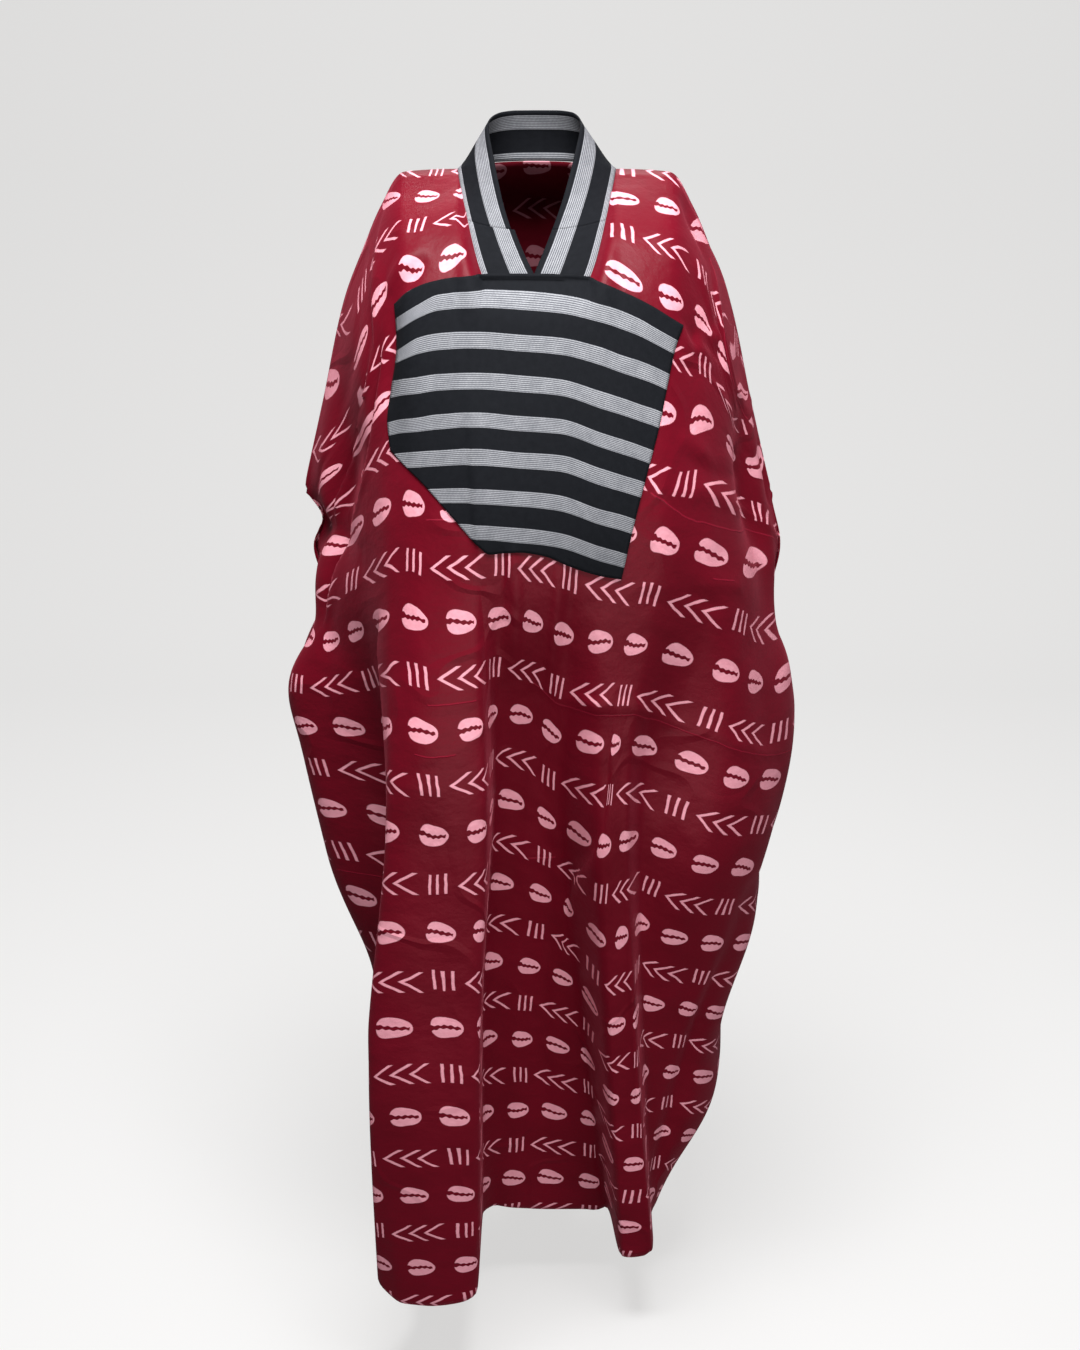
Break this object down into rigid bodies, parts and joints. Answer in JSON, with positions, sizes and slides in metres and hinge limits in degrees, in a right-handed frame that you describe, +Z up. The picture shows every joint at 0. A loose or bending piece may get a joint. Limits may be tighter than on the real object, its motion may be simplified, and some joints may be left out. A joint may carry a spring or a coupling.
{
  "type": "grand boubou robe",
  "caption": "Wide worn robe hanging in big standing folds, with a striped V-neck collar band, a striped chest patch and a sleeve opening at each side.",
  "frame": {"origin": "the middle of the shoulder seam line at the base of the neck, where the wearer's shoulders hold the robe", "axes": "+Z up, the front of the robe faces -Y, +X towards the wearer's left (the right of the picture)"},
  "size_m": [0.6177, 0.5428, 1.4164],
  "materials": {
    "red_satin": "soft satin-faced cotton, resist printed",
    "striped_cloth": "woven strip cloth, black with silver-grey bands"
  },
  "bodies": {
    "root": {"front_panel": "red_satin", "back_panel": "red_satin", "chest_patch": "striped_cloth", "collar_back": "striped_cloth", "collar_left": "striped_cloth", "collar_right": "striped_cloth"}
  },
  "joints": []
}
